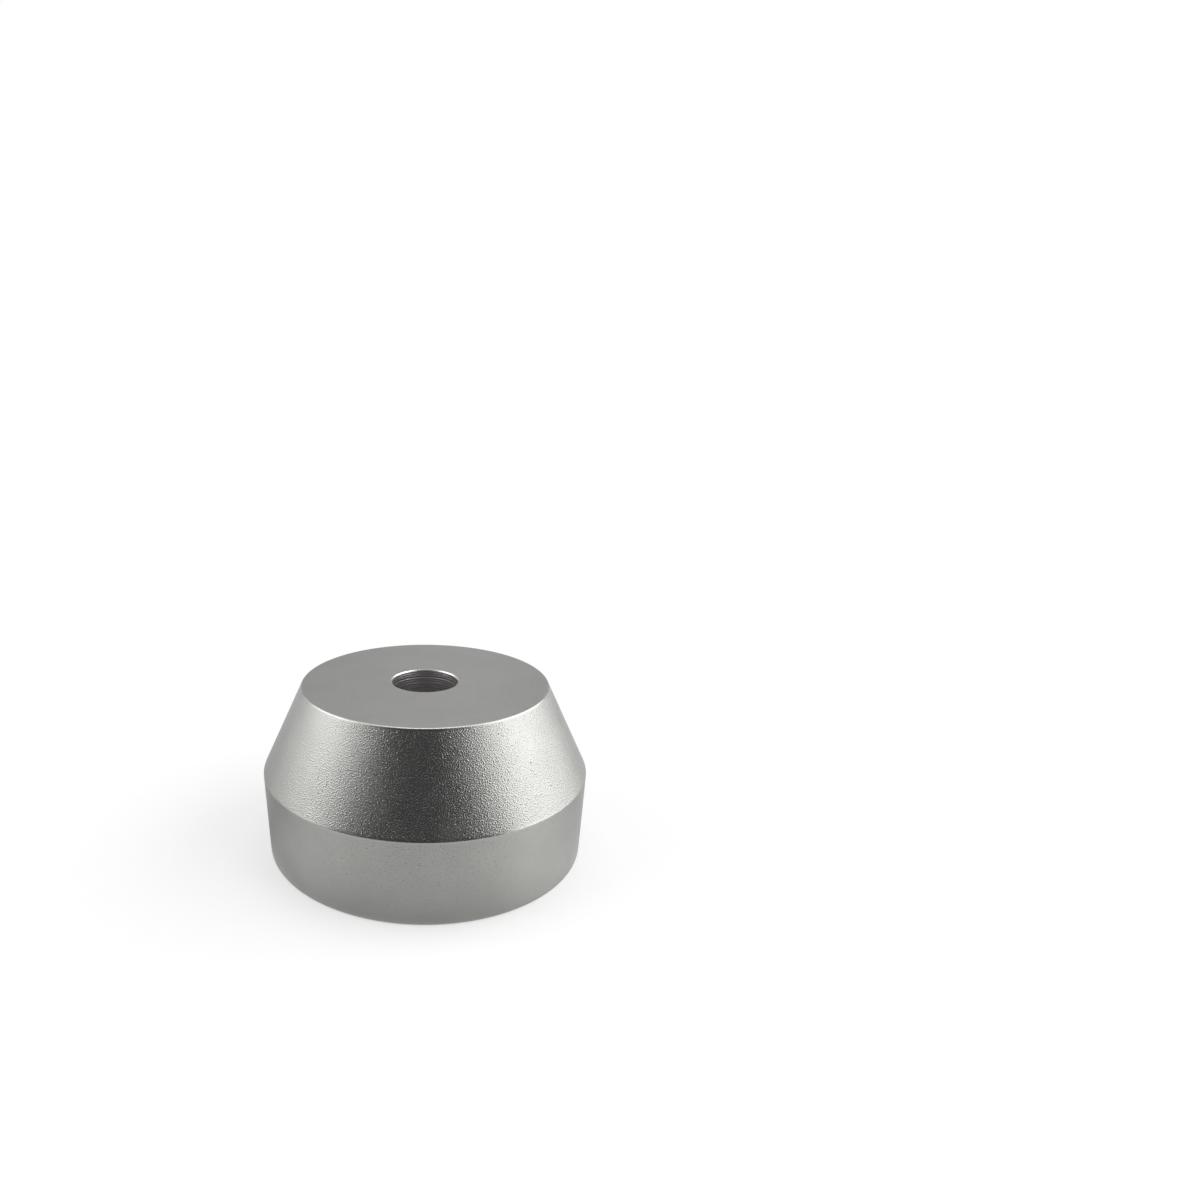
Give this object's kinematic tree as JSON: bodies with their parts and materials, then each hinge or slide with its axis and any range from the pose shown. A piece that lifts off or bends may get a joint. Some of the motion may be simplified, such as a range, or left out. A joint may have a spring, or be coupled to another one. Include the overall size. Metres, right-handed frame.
{
  "type": "record spindle adapter",
  "caption": "Turned aluminium cone on a short cylinder, bored through, that centres a record with a large hole on a turntable's spindle.",
  "frame": {"origin": "centre of the flat base, on the axis of the spindle hole", "axes": "+Z along the axis of the spindle hole, from the base up to the small top face"},
  "size_m": [0.038, 0.038, 0.02],
  "materials": {
    "anodised_aluminium": "bead-blasted and clear anodised, fine matt grain"
  },
  "bodies": {
    "root": {"adapter_body": "anodised_aluminium"}
  },
  "joints": []
}
